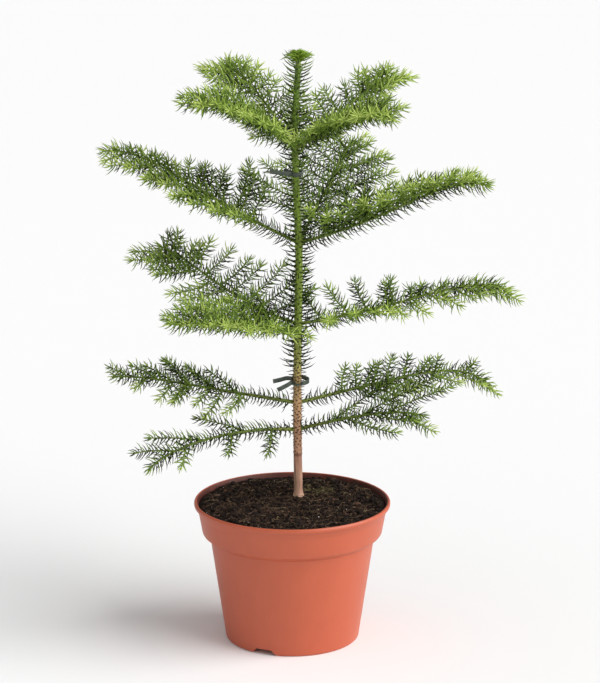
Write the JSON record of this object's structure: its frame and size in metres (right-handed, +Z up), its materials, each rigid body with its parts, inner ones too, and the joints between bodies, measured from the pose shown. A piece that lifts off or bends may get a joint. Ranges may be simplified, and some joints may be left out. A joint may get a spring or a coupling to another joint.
{
  "type": "potted norfolk island pine",
  "caption": "Young potted conifer with whorls of flat, needle-covered sprays on a slim upright trunk, standing in a round tapered plastic nursery pot filled with peat.",
  "frame": {"origin": "centre of the pot's flat underside", "axes": "+Z up along the plant, -Y to the front, +X to the viewer's right"},
  "size_m": [0.3569, 0.2591, 0.5128],
  "materials": {
    "pot": "satin moulded terracotta-coloured plastic",
    "soil": "moist, crumbly peat",
    "trunk": "smooth young bark, brown below and green above",
    "bough": "smooth green young bark",
    "needles": "soft satin green needles",
    "tie": "satin dark green-grey band"
  },
  "bodies": {
    "root": {"pot": "pot", "soil": "soil", "trunk": "trunk", "leader": "needles", "tie_upper": "tie", "tie_lower": "tie", "bough_crown_front_left": "bough", "bough_crown_back_left": "bough", "bough_crown_back_right": "bough", "bough_crown_front_right": "bough", "bough_upper_left": "bough", "bough_upper_right": "bough", "bough_upper_back": "bough", "bough_middle_back_left": "bough", "bough_middle_front_left": "bough", "bough_middle_right": "bough", "bough_lower_left": "bough", "bough_lower_right": "bough", "bough_lowest_left": "bough", "bough_lowest_right": "bough", "foliage_crown_front_left": "needles", "foliage_crown_back_left": "needles", "foliage_crown_back_right": "needles", "foliage_crown_front_right": "needles", "foliage_upper_left": "needles", "foliage_upper_right": "needles", "foliage_upper_back": "needles", "foliage_middle_back_left": "needles", "foliage_middle_front_left": "needles", "foliage_middle_right": "needles", "foliage_lower_left": "needles", "foliage_lower_right": "needles", "foliage_lowest_left": "needles", "foliage_lowest_right": "needles"}
  },
  "joints": []
}
